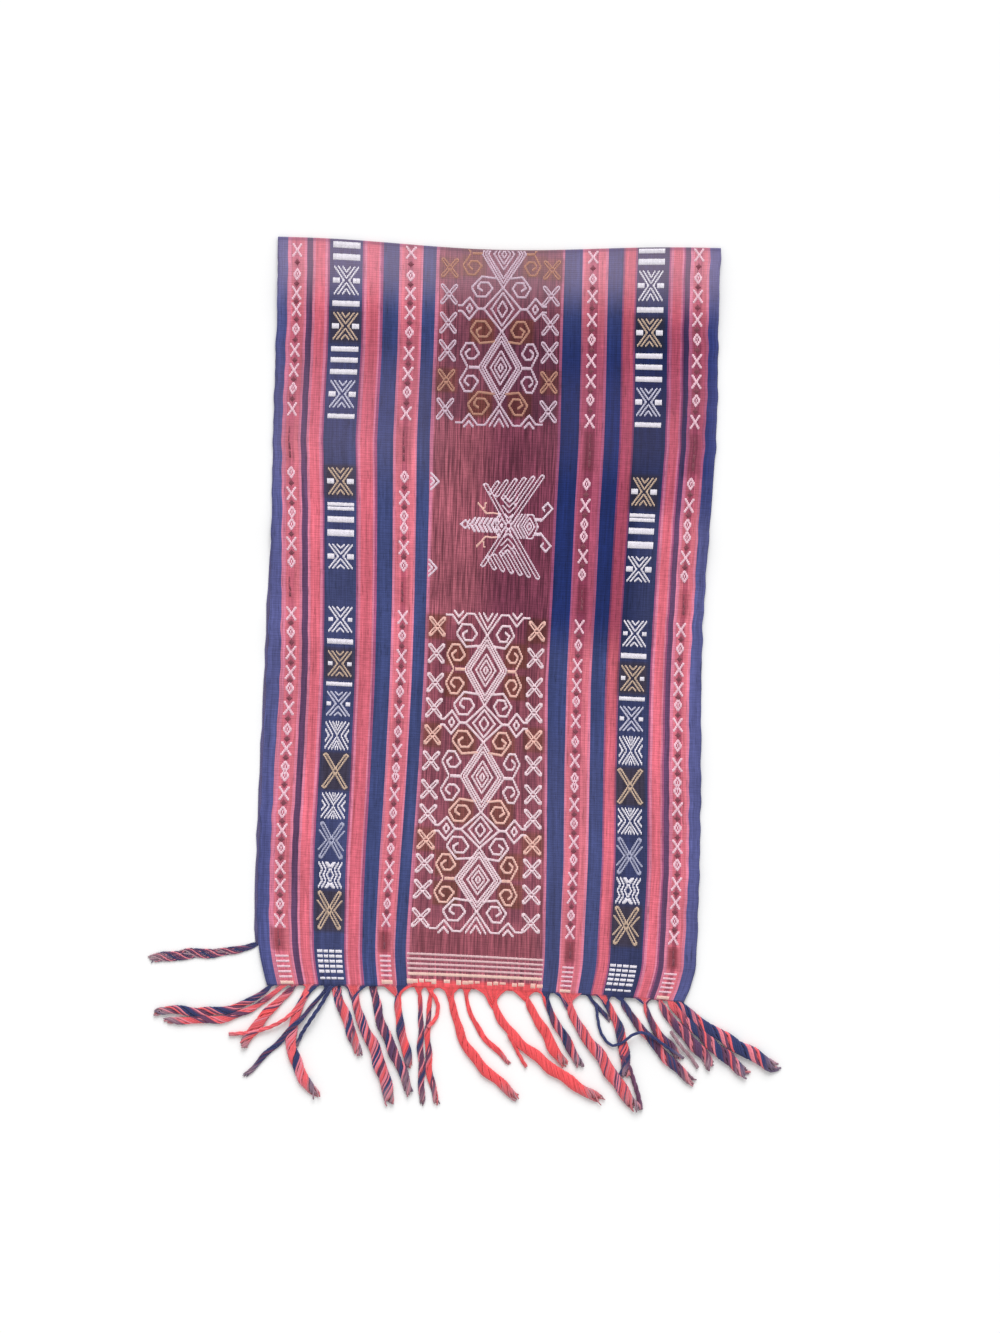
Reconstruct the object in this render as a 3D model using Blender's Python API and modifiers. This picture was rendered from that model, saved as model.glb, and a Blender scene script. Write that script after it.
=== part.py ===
# A pattern-woven shoulder cloth with twisted tassels, folded in half across its length and laid flat.
# Metres, +Z up, the floor at z = 0. The origin is on the underside, near the middle of the cloth.
# +Y points to the fold and both fringed ends lie at -Y. The tables below are in millimetres.
# In flat cloth, u runs across the width and v along the length, counted from the fold.

import math

import bmesh
import bpy

NAME = "folded_ikat_cloth"
MM = 0.001

CLOTH_HALF_WIDTH = 250.0
PANEL_HALF_WIDTH = 71.5
UPPER_LENGTH = 850.0
LOWER_LENGTH = 806.0
CLOTH_THICK = 1.2
LAYER_GAP = 0.8
PARTING = 0.3
STRIP_DEPTH = 6.0
TASSEL_THICK = 3.0
HIDDEN_TASSEL_THICK = 2.2

# Heights of the middle of the cloth's thickness: the lower layer lies on the floor, the upper layer
# rests on it, is a little thicker at the fold and rides over the lower tassels at its hem.
LOWER_Z = CLOTH_THICK / 2
UPPER_Z = LOWER_Z + CLOTH_THICK + LAYER_GAP
FOLD_Z = 3.8
HEM_Z = 3.5
FOLD_EASE = 28.0
HEM_RISE_FROM = 735.0
HEM_RISE_TO = 795.0

# The lower layer peeks out on the left beyond the upper one from about half way down.
PEEK = 3.5
PEEK_FROM = 330.0
PEEK_TO = 420.0

COLUMNS = 20
LOWER_ROWS = 20
BEND_ROWS = 4
UPPER_ROWS = 44

# Where the cloth's edges lie. v is the distance from the fold along the cloth, the four x columns are
# the left edge, the centre panel's two edges and the right edge, the y columns are a weft's left and
# right end. Bow lifts the weft's middle, and sag drops only the part near its middle, as the fold does
# between its corners.
STATION_NAMES = ("v", "left_x", "panel_left_x", "panel_right_x", "right_x", "left_y", "right_y", "bow", "sag")
STATIONS = (
    (0, -238.5, -58.0, 85.5, 262.0, 425.5, 412.5, 0.0, 8.4),
    (70, -239.0, -60.0, 83.0, 259.5, 356.5, 346.0, 0.0, 3.0),
    (208, -243.5, -64.5, 78.5, 257.0, 220.5, 206.0, 0.0, 0.0),
    (428, -248.0, -71.0, 70.0, 241.5, 5.5, -18.0, 0.0, 0.0),
    (644, -257.5, -82.5, 65.5, 239.0, -209.0, -235.0, 0.0, 0.0),
    (780, -262.0, -92.0, 63.0, 235.0, -345.0, -371.0, 3.0, 0.0),
    (813, -259.5, -93.5, 62.0, 232.5, -379.0, -404.0, 4.0, 0.0),
    (850, -251.0, -91.5, 59.0, 220.5, -418.5, -437.5, 5.0, 0.0),
    (862, -247.0, -91.0, 58.0, 216.0, -431.0, -448.5, 5.0, 0.0),
)

# Soft ridges of the upper layer, which run across it: where each crosses the cloth's middle, its turn
# from the X axis in degrees, its height at the left and the right edge, and half its width.
RIDGE_NAMES = ("y", "turn", "left_height", "right_height", "half_width")
RIDGES = (
    (366, 0, 3.6, 4.6, 100),
    (76, -2, 3.2, 3.4, 62),
    (-14, 3, 3.0, 1.2, 42),
    (-150, -6, 0.6, 2.0, 60),
    (-298, -4, 1.6, 2.6, 85),
)

# Tassels, one row each: where the root's middle lies along the hem, how wide its fan is there, the
# way it swings from straight down (-Y) at its root, at a third, at two thirds and at its end, in
# degrees with + to the right, its length and width, and where it is lifted over another and how far.
TASSEL_NAMES = ("root_x", "fan", "swing_0", "swing_1", "swing_2", "swing_3", "length", "width",
                "lift_at", "lift")
FRONT_TASSELS = (
    (-244.0, 10, -46, -70, -99, -80, 146, 8, 0, 0),
    (-231.5, 11, -46, -58, -88, -80, 148, 7, 0, 0),
    (-217.0, 12, -46, -46, -38, -26, 96, 9, 0, 0),
    (-200.0, 19, -34, -16, 22, 38, 142, 10, 0, 0),
    (-181.0, 16, -40, -42, -45, -44, 144, 5, 58, 5),
    (-149.0, 22, -6, 25, 18, 13, 144, 11, 0, 0),
    (-100.0, 24, -6, 8, 12, 18, 96, 8, 0, 0),
    (-79.0, 9, 5, 0, 2, -2, 137, 6, 0, 0),
    (-67.0, 9, -8, -2, 6, 20, 136, 6, 0, 0),
    (-44.0, 18, 8, 20, 46, 48, 155, 9, 0, 0),
    (-28.5, 8, -4, 24, 42, 46, 104, 5, 0, 0),
    (2.0, 38, 6, 44, 54, 61, 188, 10, 0, 0),
    (39.0, 24, 18, 30, 29, 38, 100, 9, 0, 0),
    (62.0, 16, 12, 26, 32, 18, 97, 8, 0, 0),
    (88.0, 30, 6, 36, 32, 42, 158, 11, 0, 0),
    (110.5, 9, 36, 40, 44, 42, 42, 4, 0, 0),
    (131.0, 18, 24, 26, 6, 14, 98, 9, 0, 0),
    (146.5, 9, 26, 40, 42, 56, 132, 9, 0, 0),
    (177.5, 14, 10, 26, 42, 36, 84, 7, 0, 0),
    (191.5, 10, 22, 42, 42, 26, 102, 10, 0, 0),
    (202.5, 8, 36, 47, 48, 52, 126, 11, 0, 0),
    (212.0, 7, 40, 56, 60, 60, 142, 12, 0, 0),
)
BACK_TASSELS = (
    (-255.0, 7, -66, -84, -86, -74, 130, 9, 0, 0),
    (-176.0, 14, 2, 12, 22, 10, 131, 9, 0, 0),
    (-131.0, 14, 2, 10, 25, 16, 178, 9, 0, 0),
)
# Tassels of the lower end that the upper layer hides are short and straight.
HIDDEN_ROOTS = (-222, -94, -58, -22, 14, 50, 86, 122, 158, 194)
HIDDEN_TASSEL = {"fan": 14, "swing_0": 0, "swing_1": 3, "swing_2": 6, "swing_3": 8, "length": 30,
                 "width": 8, "lift_at": 0, "lift": 0}
TASSEL_STEP = 13.0
FAN_REACH = 20.0
NECK_SHARE = 0.6
END_SHARE = 0.8
SWELL_SHARE = 0.7
LIFT_REACH = 38.0
STRAND_DROP = 18.0

MATERIALS = {
    "cloth": ((0.31, 0.075, 0.115, 1.0), 0.85),
    "fringe_front": ((0.80, 0.12, 0.13, 1.0), 0.85),
    "fringe_back": ((0.24, 0.10, 0.20, 1.0), 0.85),
}


def as_rows(names, table):
    return [dict(zip(names, values)) for values in table]


def ease(t):
    """0 to 1 in a smooth step, held outside that range."""
    t = min(max(t, 0.0), 1.0)
    return t * t * (3 - 2 * t)


def read_curve(places, values, place):
    """A smooth curve through the values, read at one place and straight beyond its ends."""
    last = len(places) - 1
    slopes = []
    for i in range(last + 1):
        a, b = max(i - 1, 0), min(i + 1, last)
        slopes.append((values[b] - values[a]) / (places[b] - places[a]))
    if place <= places[0]:
        return values[0] + slopes[0] * (place - places[0])
    if place >= places[last]:
        return values[last] + slopes[last] * (place - places[last])
    i = max(k for k in range(last) if places[k] <= place)
    span = places[i + 1] - places[i]
    t = (place - places[i]) / span
    rise = values[i + 1] - values[i]
    start, end = slopes[i] * span, slopes[i + 1] * span
    return values[i] + start * t + (3 * rise - 2 * start - end) * t**2 + (start + end - 2 * rise) * t**3


def station_at(v):
    """The named sizes of the cloth's outline at one distance from the fold."""
    rows = as_rows(STATION_NAMES, STATIONS)
    places = [row["v"] for row in rows]
    return {name: read_curve(places, [row[name] for row in rows], v) for name in STATION_NAMES[1:]}


def weft_y(station, x):
    """The y of a weft where it passes x."""
    share = (x - station["left_x"]) / (station["right_x"] - station["left_x"])
    straight = station["left_y"] + (station["right_y"] - station["left_y"]) * share
    middle = 1 - (2 * share - 1)**2
    return straight + station["bow"] * middle - station["sag"] * middle**3


def plan_point(u, v):
    """Where a point of the flat cloth lies in plan."""
    station = station_at(v)
    knots = (-CLOTH_HALF_WIDTH, -PANEL_HALF_WIDTH, PANEL_HALF_WIDTH, CLOTH_HALF_WIDTH)
    edges = [station[name] for name in STATION_NAMES[1:5]]
    i = 0 if u < knots[1] else 1 if u < knots[2] else 2
    share = (u - knots[i]) / (knots[i + 1] - knots[i])
    x = edges[i] + (edges[i + 1] - edges[i]) * share
    return x, weft_y(station, x)


def ridge_height(x, y):
    """How far the soft ridges lift the upper layer."""
    height = 0.0
    for ridge in as_rows(RIDGE_NAMES, RIDGES):
        crest_y = ridge["y"] + x * math.tan(math.radians(ridge["turn"]))
        away = abs(y - crest_y) / ridge["half_width"]
        side = (x + CLOTH_HALF_WIDTH) / (2 * CLOTH_HALF_WIDTH)
        crest = ridge["left_height"] + (ridge["right_height"] - ridge["left_height"]) * side
        height += crest * (1 - ease(away))
    return height


def upper_z(x, y, v):
    """The middle of the upper layer's thickness above the floor."""
    from_fold = 1 - ease(v / FOLD_EASE)
    to_hem = ease((v - HEM_RISE_FROM) / (HEM_RISE_TO - HEM_RISE_FROM))
    loose = (1 - from_fold) * (1 - to_hem)
    return (UPPER_Z + (FOLD_Z - UPPER_Z) * from_fold + (HEM_Z - UPPER_Z) * to_hem
            + ridge_height(x, y) * loose)


def upper_point(u, v):
    x, y = plan_point(u, v)
    return x, y, upper_z(x, y, v)


def peek(v):
    return PEEK * ease((v - PEEK_FROM) / (PEEK_TO - PEEK_FROM))


def lower_point(u, v):
    x, y = plan_point(u, v)
    return x - peek(v), y, LOWER_Z


def bend_point(u, turn):
    """A point of the fold's half turn, from 0 at the lower layer to 1 at the upper one."""
    x, y = plan_point(u, 0)
    radius = (FOLD_Z - LOWER_Z) / 2
    angle = math.pi * (turn - 0.5)
    return x, y + radius * math.cos(angle), LOWER_Z + radius + radius * math.sin(angle)


def folded_section():
    """The cloth's length as a list of functions of u, from the lower end round the fold to the hem."""
    section = []
    for i in range(LOWER_ROWS):
        v = LOWER_LENGTH * (1 - i / LOWER_ROWS)
        section.append(lambda u, v=v: lower_point(u, v))
    for i in range(BEND_ROWS + 1):
        section.append(lambda u, turn=i / BEND_ROWS: bend_point(u, turn))
    for i in range(1, UPPER_ROWS + 1):
        v = UPPER_LENGTH * i / UPPER_ROWS
        section.append(lambda u, v=v: upper_point(u, v))
    return section


def new_object(name, bm, collection, thickness):
    """One sub-part: an open surface that Solidify makes a closed shell."""
    mesh = bpy.data.meshes.new(name)
    bm.to_mesh(mesh)
    bm.free()
    part = bpy.data.objects.new(name, mesh)
    collection.objects.link(part)
    shell = part.modifiers.new("thickness", "SOLIDIFY")
    shell.thickness = thickness * MM
    shell.offset = 0.0
    shell.use_even_offset = True
    colour, roughness = MATERIALS[name]
    material = bpy.data.materials.new(name)
    material.use_nodes = True
    surface = material.node_tree.nodes["Principled BSDF"]
    surface.inputs["Base Color"].default_value = colour
    surface.inputs["Roughness"].default_value = roughness
    surface.inputs["Metallic"].default_value = 0.0
    material.diffuse_color = colour
    mesh.materials.append(material)
    return part


def make_cloth(collection):
    """The one woven panel, folded: a grid laid on the folded section."""
    section = folded_section()
    rows = len(section) - 1
    bm = bmesh.new()
    bmesh.ops.create_grid(bm, x_segments=COLUMNS, y_segments=rows, size=1.0)
    for vert in bm.verts:
        place = section[round((vert.co.y + 1) / 2 * rows)]
        vert.co = [value * MM for value in place(vert.co.x * CLOTH_HALF_WIDTH)]
    return new_object("cloth", bm, collection, CLOTH_THICK)


def tassel_width(tassel, s):
    """A fan at the root, a narrow neck, and a body that swells towards a blunt end."""
    neck = tassel["width"] * NECK_SHARE
    fan = (tassel["fan"] - neck) * (1 - ease(s / FAN_REACH))
    body = (tassel["width"] - neck) * ease(s / (SWELL_SHARE * tassel["length"]))
    end = 1 - (1 - END_SHARE) * ease((s - SWELL_SHARE * tassel["length"])
                                     / ((1 - SWELL_SHARE) * tassel["length"]))
    return (neck + fan + body) * end


def tassel_sections(tassel, root, hem_way, start_z, thick_at):
    """Cross-sections from the root to the end: two edge points and a thickness each."""
    places = (0.0, 1 / 3, 2 / 3, 1.0)
    swings = [tassel["swing_" + str(i)] for i in range(4)]
    steps = max(3, round(tassel["length"] / TASSEL_STEP))
    step = tassel["length"] / steps
    x, y = root
    for i in range(1, steps + 1):
        swing = math.radians(read_curve(places, swings, (i - 0.5) / steps))
        x += step * math.sin(swing)
        y -= step * math.cos(swing)
        s = i * step
        turn = ease(s / FAN_REACH)
        across_x = hem_way[0] + (math.cos(swing) - hem_way[0]) * turn
        across_y = hem_way[1] + (math.sin(swing) - hem_way[1]) * turn
        half = tassel_width(tassel, s) / 2 / math.hypot(across_x, across_y)
        thick = thick_at(s, y)
        z = thick / 2 + (start_z - CLOTH_THICK / 2) * (1 - ease(s / STRAND_DROP))
        if tassel["lift"]:
            z += tassel["lift"] * (1 - ease(abs(s - tassel["lift_at"]) / LIFT_REACH))
        yield ((x - across_x * half, y - across_y * half, z),
               (x + across_x * half, y + across_y * half, z), thick)


def make_fringe(name, collection, hem_v, shift, hem_z, tassels, thick_at):
    """A narrow strip along the cloth's end with its tassels drawn out of its edge, as one comb."""
    inner, outer = station_at(hem_v + PARTING), station_at(hem_v + STRIP_DEPTH)
    edges = [outer["left_x"], outer["right_x"]]
    for tassel in tassels:
        edges += [tassel["root_x"] - tassel["fan"] / 2, tassel["root_x"] + tassel["fan"] / 2]
    edges = sorted(edges)
    bm = bmesh.new()
    weights = bm.verts.layers.deform.verify()

    def place(vert, point, thick):
        vert.co = [value * MM for value in point]
        vert[weights][0] = thick / TASSEL_THICK

    top = [bm.verts.new() for _ in edges]
    for vert, x in zip(top, edges):
        share = (x - outer["left_x"]) / (outer["right_x"] - outer["left_x"])
        inner_x = inner["left_x"] + (inner["right_x"] - inner["left_x"]) * share
        place(vert, (inner_x - shift, weft_y(inner, inner_x), hem_z), CLOTH_THICK)
    row = [bm.edges.new(pair) for pair in zip(top, top[1:])]
    made = bmesh.ops.extrude_edge_only(bm, edges=row)["geom"]
    bottom = [item for item in made if isinstance(item, bmesh.types.BMVert)]
    bottom.sort(key=lambda vert: vert.co.x)
    for vert, x in zip(bottom, edges):
        place(vert, (x - shift, weft_y(outer, x), hem_z), CLOTH_THICK)

    for tassel in tassels:
        ends = (tassel["root_x"] - tassel["fan"] / 2, tassel["root_x"] + tassel["fan"] / 2)
        left, right = [bottom[edges.index(x)] for x in ends]
        root = ((left.co.x + right.co.x) / 2 / MM, (left.co.y + right.co.y) / 2 / MM)
        way = (right.co - left.co).normalized()
        edge = bm.edges.get((left, right))
        for left_place, right_place, thick in tassel_sections(tassel, root, way, hem_z, thick_at):
            made = bmesh.ops.extrude_edge_only(bm, edges=[edge])["geom"]
            edge = next(item for item in made if isinstance(item, bmesh.types.BMEdge))
            old_left = left
            left, right = edge.verts
            if not bm.edges.get((old_left, left)):
                left, right = right, left
            place(left, left_place, thick)
            place(right, right_place, thick)

    bmesh.ops.recalc_face_normals(bm, faces=bm.faces)
    part = new_object(name, bm, collection, TASSEL_THICK)
    part.vertex_groups.new(name="thickness")
    part.modifiers["thickness"].vertex_group = "thickness"
    return part


def front_thickness(s, y):
    return CLOTH_THICK + (TASSEL_THICK - CLOTH_THICK) * ease(s / STRAND_DROP)


def back_thickness(s, y):
    """Thin where the upper layer covers the tassel, full where it comes out beyond the hem."""
    covered = HIDDEN_TASSEL_THICK
    beyond_hem = ease((station_at(UPPER_LENGTH + STRIP_DEPTH)["left_y"] - 8 - y) / STRAND_DROP)
    thick = covered + (TASSEL_THICK - covered) * beyond_hem
    return CLOTH_THICK + (thick - CLOTH_THICK) * ease(s / STRAND_DROP)


def main():
    for old in list(bpy.data.objects):
        bpy.data.objects.remove(old, do_unlink=True)
    collection = bpy.data.collections.new(NAME)
    bpy.context.scene.collection.children.link(collection)

    make_cloth(collection)
    front = as_rows(TASSEL_NAMES, FRONT_TASSELS)
    make_fringe("fringe_front", collection, UPPER_LENGTH, 0.0, HEM_Z, front, front_thickness)
    back = as_rows(TASSEL_NAMES, BACK_TASSELS)
    back += [dict(HIDDEN_TASSEL, root_x=x) for x in HIDDEN_ROOTS]
    make_fringe("fringe_back", collection, LOWER_LENGTH, peek(LOWER_LENGTH), LOWER_Z, back,
                back_thickness)


main()
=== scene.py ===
import math
import random

import bmesh
import bpy
import numpy as np
from mathutils import Matrix


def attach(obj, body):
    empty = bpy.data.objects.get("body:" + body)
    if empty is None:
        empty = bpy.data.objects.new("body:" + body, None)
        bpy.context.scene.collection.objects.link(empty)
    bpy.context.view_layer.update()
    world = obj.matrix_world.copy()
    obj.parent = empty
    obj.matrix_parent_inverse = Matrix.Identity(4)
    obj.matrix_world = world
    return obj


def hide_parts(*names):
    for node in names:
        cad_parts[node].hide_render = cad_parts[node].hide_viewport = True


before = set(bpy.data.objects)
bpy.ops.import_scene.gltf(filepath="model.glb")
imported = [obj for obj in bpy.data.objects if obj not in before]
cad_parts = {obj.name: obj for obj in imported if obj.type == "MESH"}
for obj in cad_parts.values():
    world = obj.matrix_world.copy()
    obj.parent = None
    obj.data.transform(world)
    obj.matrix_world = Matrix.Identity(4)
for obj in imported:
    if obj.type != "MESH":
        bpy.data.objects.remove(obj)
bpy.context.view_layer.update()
mm = 0.001
fullTurn = 6.283
scene = bpy.context.scene


def toLinear(hexColour):
    values = [int(hexColour[i:i + 2], 16) / 255 for i in (1, 3, 5)]
    return tuple(c / 12.92 if c <= 0.04045 else ((c + 0.055) / 1.055)**2.4 for c in values) + (1.0,)


def addNode(tree, kind, sockets=None, **settings):
    made = tree.nodes.new("ShaderNode" + kind)
    for name, value in settings.items():
        setattr(made, name, value)
    for place, value in (sockets or {}).items():
        if isinstance(value, bpy.types.NodeSocket):
            tree.links.new(value, made.inputs[place])
        else:
            made.inputs[place].default_value = value
    return made


def combine(tree, operation, *values):
    return addNode(tree, "Math", dict(enumerate(values)), operation=operation).outputs[0]


def blend(tree, share, first, second):
    return addNode(tree, "Mix", {0: share, 6: first, 7: second}, data_type="RGBA").outputs[2]


def spread(tree, value, low, high, toLow=0.0, toHigh=1.0):
    return addNode(tree, "MapRange", {0: value, 1: low, 2: high, 3: toLow, 4: toHigh}).outputs[0]


def noiseOver(tree, vector, fineness, detail):
    stretched = addNode(tree, "VectorMath", {0: vector, 1: fineness}, operation="MULTIPLY").outputs[0]
    return addNode(tree, "TexNoise", {"Vector": stretched, "Scale": 1.0, "Detail": detail}).outputs[0]


def waveOver(tree, place, width):
    return combine(tree, "SINE", combine(tree, "MULTIPLY", place, fullTurn / width))


def newMaterial(name):
    material = bpy.data.materials.new(name)
    material.use_nodes = True
    return material, material.node_tree, material.node_tree.nodes["Principled BSDF"]


def finishCotton(tree, surface, colour, relief, look):
    bump = addNode(tree, "Bump", {"Strength": look["bump"], "Distance": look["bumpDepth"], "Height": relief})
    tree.links.new(colour, surface.inputs["Base Color"])
    tree.links.new(bump.outputs[0], surface.inputs["Normal"])
    for name, value in (("Roughness", look["roughness"]), ("Specular IOR Level", 0.2),
                        ("Sheen Weight", look["sheen"]), ("Sheen Roughness", 0.5)):
        surface.inputs[name].default_value = value


def place(name, data):
    made = bpy.data.objects.new(name, data)
    scene.collection.objects.link(made)
    return made


def meshFrom(name, bm):
    mesh = bpy.data.meshes.new(name)
    bm.to_mesh(mesh)
    bm.free()
    return mesh


def gridMesh(name, columns, rows, halfSize):
    bm = bmesh.new()
    bmesh.ops.create_grid(bm, x_segments=columns, y_segments=rows, size=halfSize)
    return meshFrom(name, bm)


# Camera: straight above the cloth, the fold at the far side, taking in the whole picture.
view = {"middle": (12.4, -58.2), "fieldHeight": 1507.6, "lens": 85.0, "sensor": 36.0}
cameraData = bpy.data.cameras.new("camera")
cameraData.lens = view["lens"]
cameraData.sensor_fit = "VERTICAL"
cameraData.sensor_height = view["sensor"]
camera = place("camera", cameraData)
cameraHeight = view["fieldHeight"] * view["lens"] / view["sensor"] * mm
camera.location = (view["middle"][0] * mm, view["middle"][1] * mm, cameraHeight)
scene.camera = camera
scene.view_settings.view_transform = "Standard"
print("camera is set")

# How the cloth lies, the same as in the part.
lie = {
    "halfWidth": 250.0, "panelHalfWidth": 71.5, "upperLength": 850.0, "lowerLength": 806.0,
    "thick": 1.2, "lowerZ": 0.6, "upperZ": 2.6, "foldZ": 3.8, "hemZ": 3.5, "foldEase": 28.0,
    "hemRiseFrom": 735.0, "hemRiseTo": 795.0, "peek": 3.5, "peekFrom": 330.0, "peekTo": 420.0,
}
stationNames = ("v", "leftX", "panelLeftX", "panelRightX", "rightX", "leftY", "rightY", "bow", "sag")
stations = np.array((
    (0, -238.5, -58.0, 85.5, 262.0, 425.5, 412.5, 0.0, 8.4),
    (70, -239.0, -60.0, 83.0, 259.5, 356.5, 346.0, 0.0, 3.0),
    (208, -243.5, -64.5, 78.5, 257.0, 220.5, 206.0, 0.0, 0.0),
    (428, -248.0, -71.0, 70.0, 241.5, 5.5, -18.0, 0.0, 0.0),
    (644, -257.5, -82.5, 65.5, 239.0, -209.0, -235.0, 0.0, 0.0),
    (780, -262.0, -92.0, 63.0, 235.0, -345.0, -371.0, 3.0, 0.0),
    (813, -259.5, -93.5, 62.0, 232.5, -379.0, -404.0, 4.0, 0.0),
    (850, -251.0, -91.5, 59.0, 220.5, -418.5, -437.5, 5.0, 0.0),
    (862, -247.0, -91.0, 58.0, 216.0, -431.0, -448.5, 5.0, 0.0),
))
ridgeNames = ("y", "turn", "leftHeight", "rightHeight", "halfWidth")
ridges = (
    (366, 0, 3.6, 4.6, 100),
    (76, -2, 3.2, 3.4, 62),
    (-14, 3, 3.0, 1.2, 42),
    (-150, -6, 0.6, 2.0, 60),
    (-298, -4, 1.6, 2.6, 85),
)


def ease(t):
    t = np.clip(t, 0.0, 1.0)
    return t * t * (3 - 2 * t)


def readCurve(places, values, at):
    places, values, at = (np.asarray(given, float) for given in (places, values, at))
    last = len(places) - 1
    low = np.maximum(np.arange(last + 1) - 1, 0)
    high = np.minimum(np.arange(last + 1) + 1, last)
    slopes = (values[high] - values[low]) / (places[high] - places[low])
    i = np.clip(np.searchsorted(places, at, side="right") - 1, 0, last - 1)
    span = places[i + 1] - places[i]
    t = np.clip((at - places[i]) / span, 0, 1)
    rise = values[i + 1] - values[i]
    start, end = slopes[i] * span, slopes[i + 1] * span
    inside = values[i] + start * t + (3 * rise - 2 * start - end) * t**2 + (start + end - 2 * rise) * t**3
    return inside + slopes[0] * np.minimum(at - places[0], 0) + slopes[-1] * np.maximum(at - places[-1], 0)


def stationAt(v):
    return {name: readCurve(stations[:, 0], stations[:, i], v)
            for i, name in enumerate(stationNames) if i}


def weftY(station, x):
    share = (x - station["leftX"]) / (station["rightX"] - station["leftX"])
    straight = station["leftY"] + (station["rightY"] - station["leftY"]) * share
    middle = 1 - (2 * share - 1)**2
    return straight + station["bow"] * middle - station["sag"] * middle**3


# The stripes drift a little to the sides as they run down the cloth: how far, at each v and each u.
driftAt = (-250, -238, -210, -150, -100, -73, 73, 95, 122, 150, 205, 238, 250)
drift = (
    (0, (0, -1, -3.5, -2.5, -2.5, 0, 0, -1.5, -1, 0, 0.5, -0.5, 0)),
    (125, (0, -1.5, -3.6, -1.8, -1.7, 0, 0.5, 0.5, 0.3, 0, 1, 0.5, 0)),
    (227, (0, -3, -5.5, -4.5, -3, -1, 1.7, 1, 0.6, 1.5, 1, -1, 0)),
    (305, (0, -1, -2.2, -1.8, -1.8, 0, 0.7, 0, -0.4, 1, -0.5, -1.5, 0)),
    (398, (0, 0, 0, 0, 0, 0, 0, 0, 0, 0, 0, 0, 0)),
    (495, (0, 2.5, 3.3, 2.5, 1.2, 1, -2.5, -2, -2.8, -2.5, -2, -2.5, 0)),
    (595, (0, 1, 3.5, 3.5, 1.5, 0.8, -1.3, -3, -2.8, -4, -3.5, -2.5, 0)),
    (695, (0, 0.5, 2.2, 3.5, 1, 0, 0, -2, -2.8, -3.5, -1.7, -1, 0)),
    (796, (0, 1.5, 5, 6, 1.5, 0, 0, -4.5, -5.5, -6.5, -4, -2.7, 0)),
    (850, (0, 0.5, 4, 2.8, 1, 0, 0, -4, -5.5, -6.5, -4, -2, 0)),
)


def sideDrift(u, v):
    total = 0.0
    for k, middle in enumerate(driftAt):
        below = driftAt[max(k - 1, 0)]
        above = driftAt[min(k + 1, len(driftAt) - 1)]
        near = np.interp(u, (below - 0.001, middle, above + 0.001), (0.0, 1.0, 0.0))
        total = total + near * np.interp(v, [row[0] for row in drift], [row[1][k] for row in drift])
    return total


def planPoint(u, v):
    station = stationAt(v)
    knots = (-lie["halfWidth"], -lie["panelHalfWidth"], lie["panelHalfWidth"], lie["halfWidth"])
    edges = [station[name] for name in stationNames[1:5]]
    i = (u >= knots[1]).astype(int) + (u >= knots[2]).astype(int)
    parts = [edges[k] + (edges[k + 1] - edges[k]) * (u - knots[k]) / (knots[k + 1] - knots[k])
             for k in range(3)]
    x = np.choose(i, parts) + sideDrift(u, v)
    return x, weftY(station, x)


def ridgeHeight(x, y):
    height = 0.0
    for values in ridges:
        ridge = dict(zip(ridgeNames, values))
        crestY = ridge["y"] + x * math.tan(math.radians(ridge["turn"]))
        side = (x + lie["halfWidth"]) / (2 * lie["halfWidth"])
        crest = ridge["leftHeight"] + (ridge["rightHeight"] - ridge["leftHeight"]) * side
        height = height + crest * (1 - ease(np.abs(y - crestY) / ridge["halfWidth"]))
    return height


# Small unevenness that the eye finds on hand-woven cotton: selvedges that wander and soft puckers.
softness = {"selvedge": 0.5, "pucker": 0.55, "seed": 11}
waves = random.Random(softness["seed"])
selvedgeWaves = [(waves.uniform(24, 90), waves.uniform(0, 6.3), waves.uniform(0.4, 1.0))
                 for _ in range(6)]
puckerWaves = [(waves.uniform(38, 120), waves.uniform(-0.7, 0.7) + math.pi / 2 * (k % 2),
                waves.uniform(0, 6.3)) for k in range(9)]


def selvedgeWander(v, side):
    total = sum(share * np.sin(v / length * fullTurn + phase * side)
                for length, phase, share in selvedgeWaves)
    return softness["selvedge"] * total / 2


def puckerHeight(x, y):
    total = sum(np.sin((x * math.cos(way) + y * math.sin(way)) / length * fullTurn + phase)
                for length, way, phase in puckerWaves)
    return softness["pucker"] * (0.5 + 0.5 * np.tanh(total / 2.2))


def edgeShare(u, v):
    return np.clip((np.abs(u) - 150) / 100, 0, 1)**2 * ease(v / 12)


def upperPoint(u, v):
    u, v = np.broadcast_arrays(np.asarray(u, float), np.asarray(v, float))
    x, y = planPoint(u, v)
    fromFold = 1 - ease(v / lie["foldEase"])
    toHem = ease((v - lie["hemRiseFrom"]) / (lie["hemRiseTo"] - lie["hemRiseFrom"]))
    loose = (1 - fromFold) * (1 - toHem)
    z = (lie["upperZ"] + (lie["foldZ"] - lie["upperZ"]) * fromFold + (lie["hemZ"] - lie["upperZ"]) * toHem
         + (ridgeHeight(x, y) + puckerHeight(x, y)) * loose)
    nearEdge = edgeShare(u, v)
    x = x + selvedgeWander(v, 1) * nearEdge * (u < 0) + selvedgeWander(v, 2) * nearEdge * (u > 0)
    return np.stack((x, y, z), -1)


def lowerPoint(u, v):
    x, y = planPoint(u, v)
    x = x - lie["peek"] * ease((v - lie["peekFrom"]) / (lie["peekTo"] - lie["peekFrom"]))
    x = x + selvedgeWander(v + 300, 1) * edgeShare(u, v) * (u < 0)
    return np.stack((x, y, np.full_like(x, lie["lowerZ"])), -1)


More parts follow.
